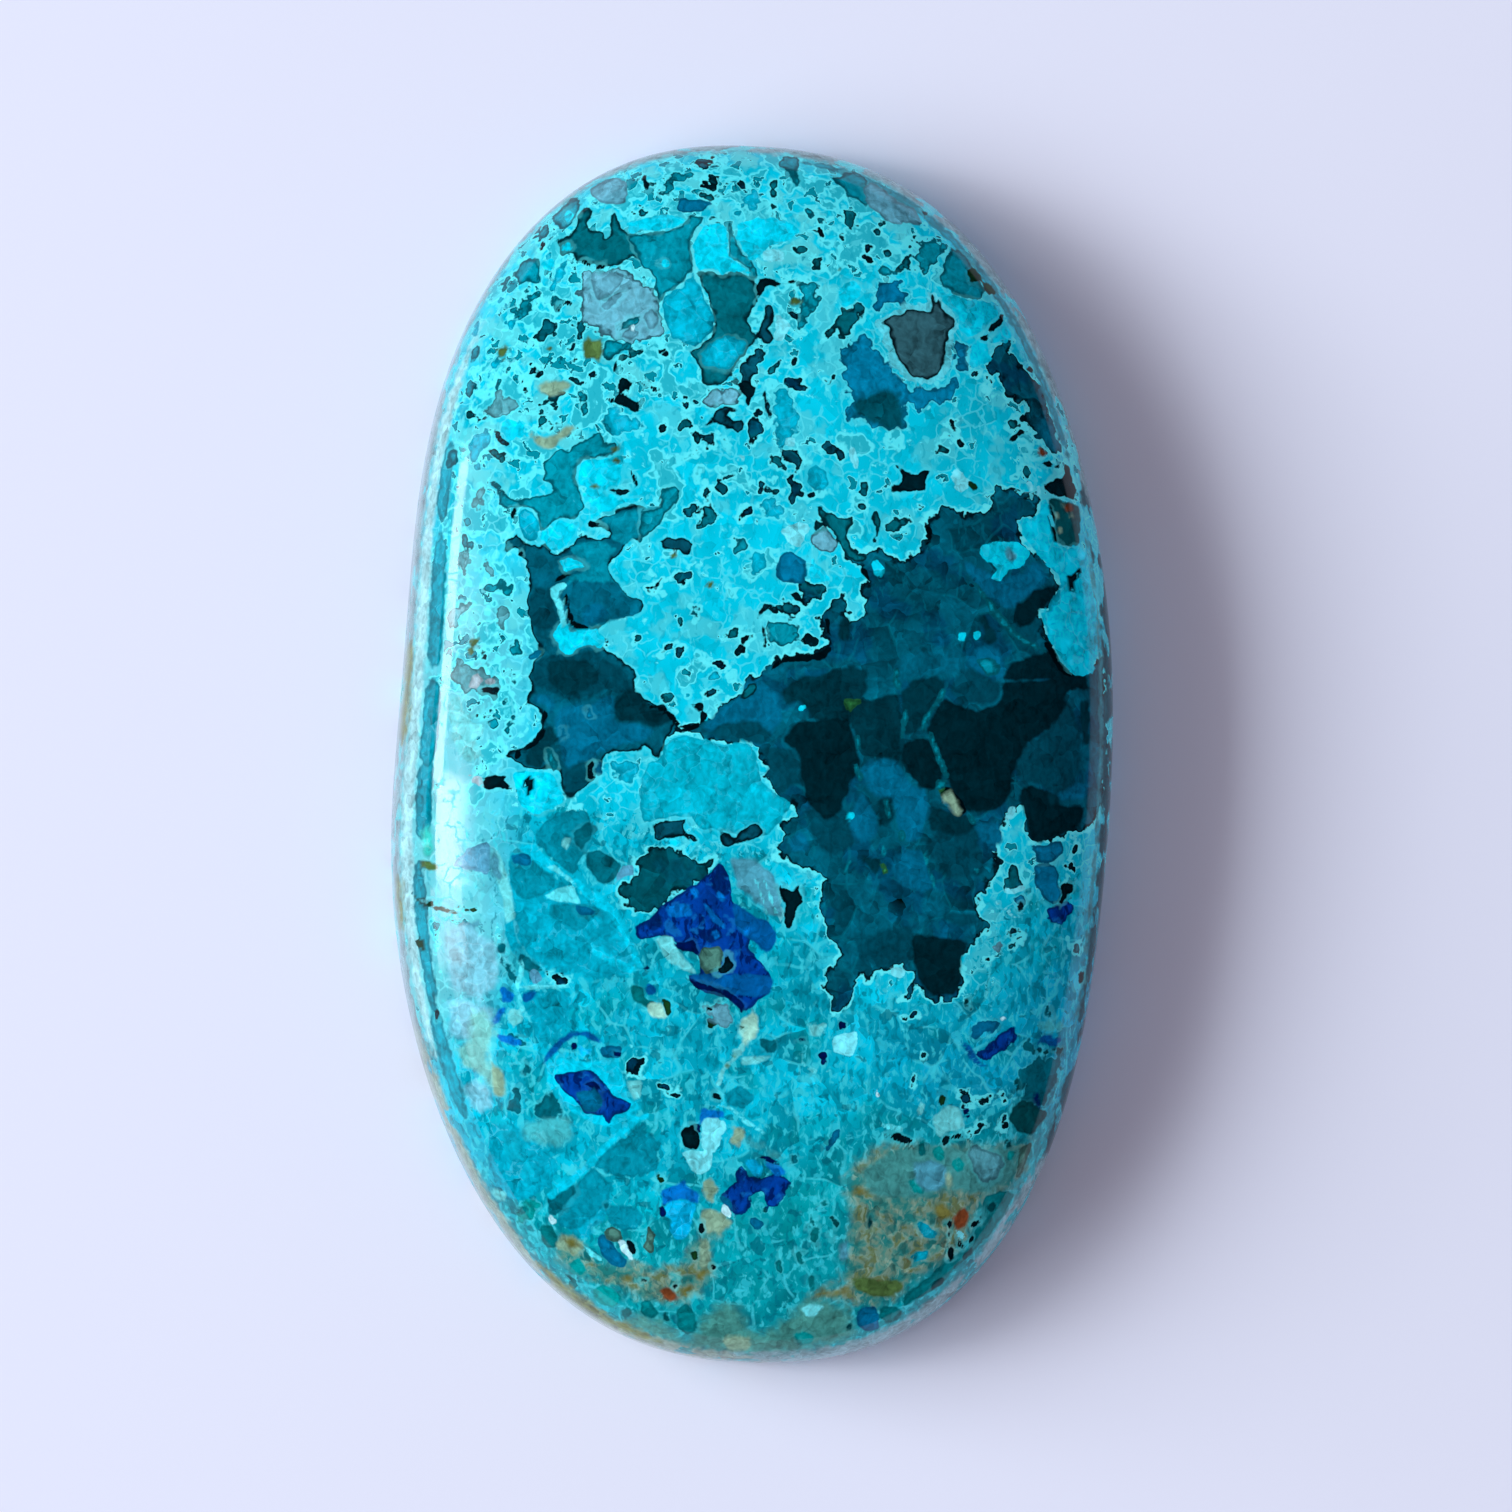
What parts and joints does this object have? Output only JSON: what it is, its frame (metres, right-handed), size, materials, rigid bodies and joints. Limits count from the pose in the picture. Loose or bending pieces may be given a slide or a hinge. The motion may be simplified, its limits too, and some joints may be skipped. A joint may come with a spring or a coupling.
{
  "type": "polished azurite and chrysocolla cabochon",
  "caption": "Hand-cut freeform oval cabochon of azurite, chrysocolla and quartz, flat underneath with a low polished dome, for display or setting in jewellery.",
  "frame": {"origin": "on the flat base, under the middle of the stone's bounding box", "axes": "+Z out of the dome, +Y along the stone's length towards its blunter end, +X to the right as seen from above"},
  "size_m": [0.0238, 0.04, 0.006],
  "materials": {
    "stone": "high polish, bright cyan to deep teal with blue azurite, pale veins and tan flecks"
  },
  "bodies": {
    "root": {"stone": "stone"}
  },
  "joints": []
}
